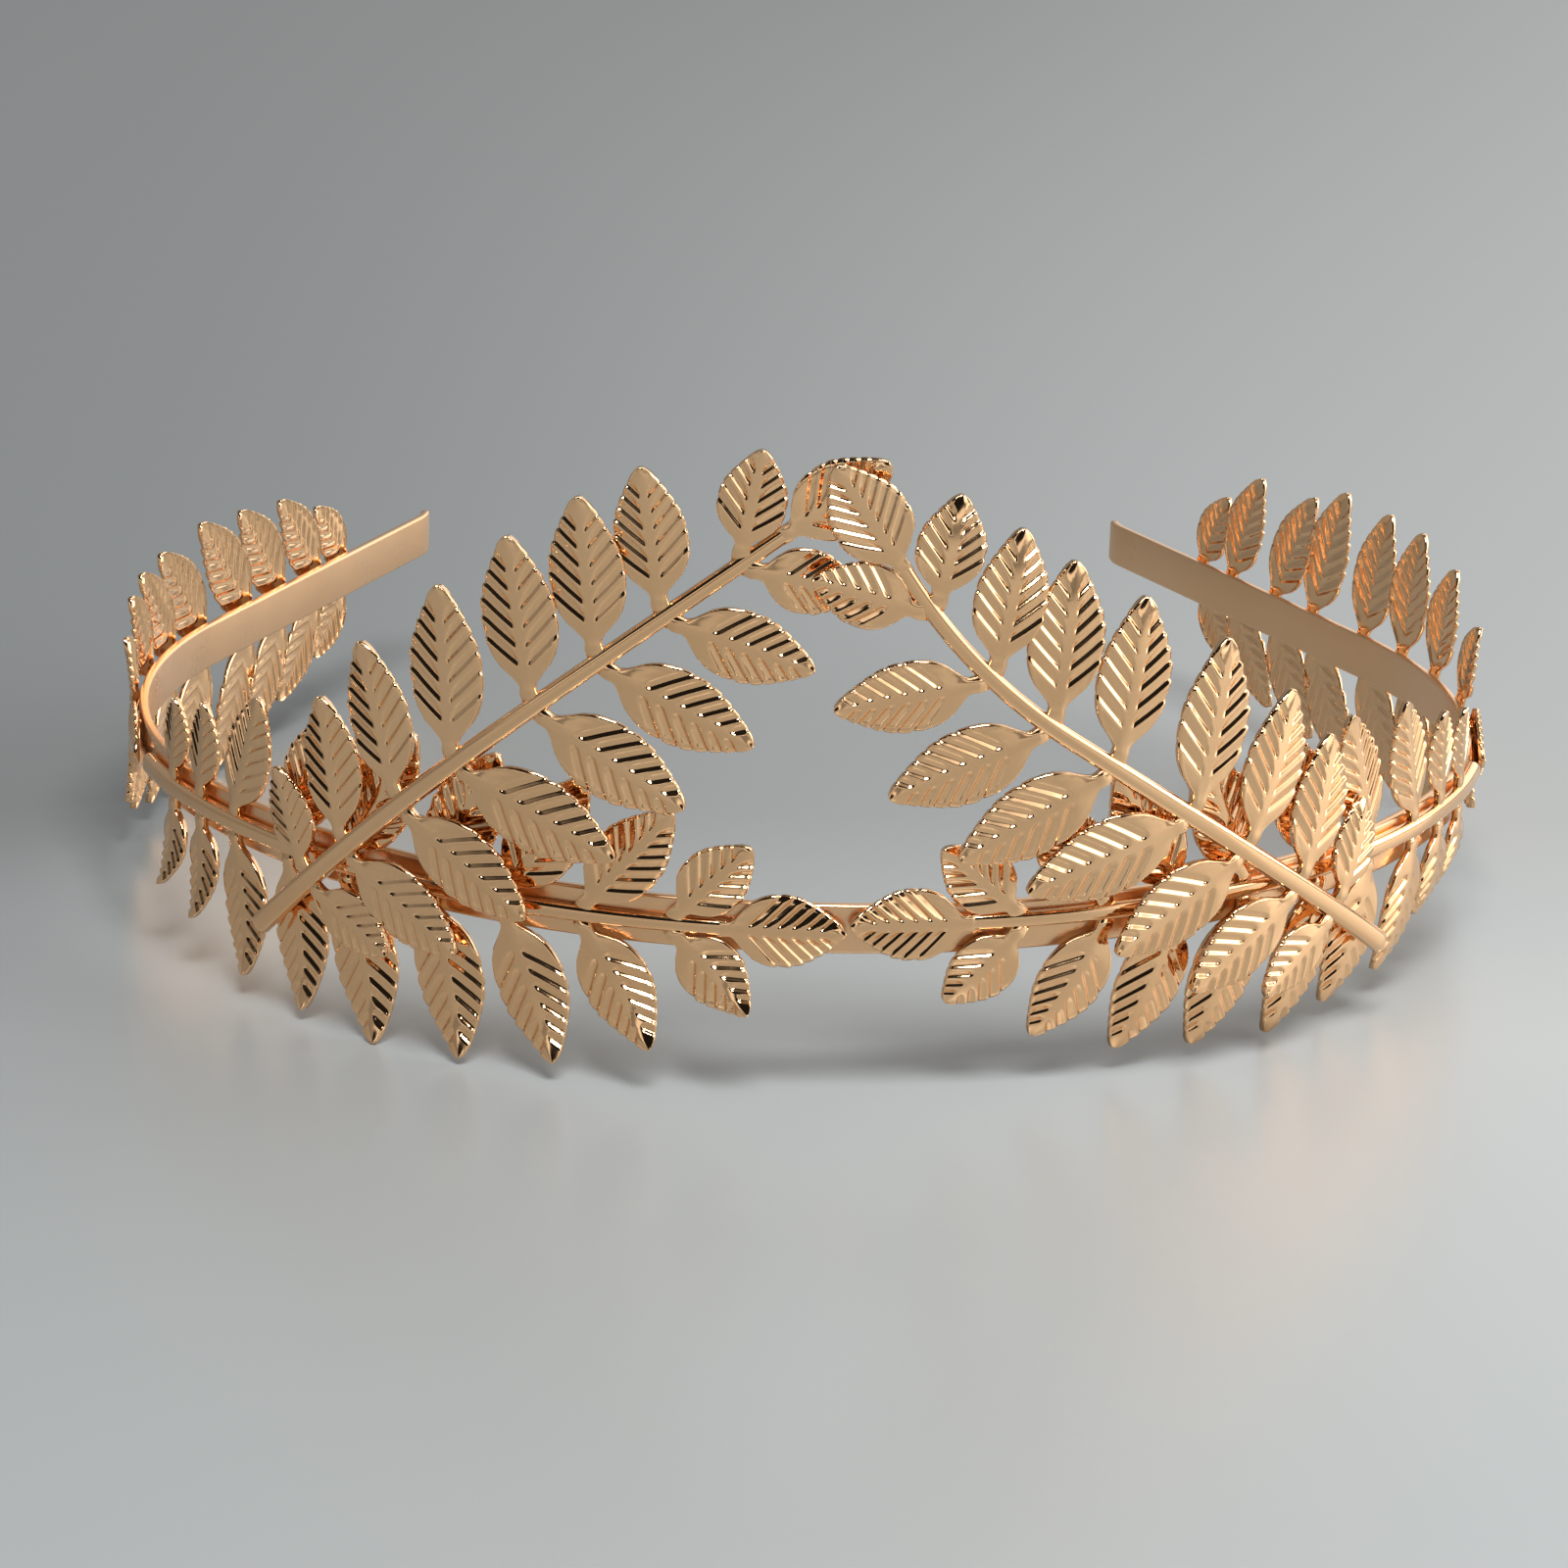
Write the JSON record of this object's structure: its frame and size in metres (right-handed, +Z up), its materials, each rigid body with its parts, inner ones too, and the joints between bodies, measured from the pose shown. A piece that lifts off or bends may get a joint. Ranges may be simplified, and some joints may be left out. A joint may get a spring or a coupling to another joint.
{
  "type": "laurel wreath crown",
  "caption": "Open headband crown of a flat metal strip carrying stamped laurel leaf sprays, low ones along it and a crossed pair rising at the front.",
  "frame": {"origin": "on the table under the middle of the crown's bounding box", "axes": "+Z up, -Y towards the crown's front, where the high sprays cross, +Y towards its open back, +X towards the viewer's right"},
  "size_m": [0.1465, 0.1452, 0.0642],
  "materials": {
    "strip_metal": "smooth rose gold plate, satin to polished",
    "leaf_metal": "polished rose gold plate on stamped leaves"
  },
  "bodies": {
    "root": {"band": "strip_metal", "left_low_spray": "leaf_metal", "right_low_spray": "leaf_metal", "left_high_spray": "leaf_metal", "right_high_spray": "leaf_metal", "left_rear_spray": "leaf_metal", "right_rear_spray": "leaf_metal"}
  },
  "joints": []
}
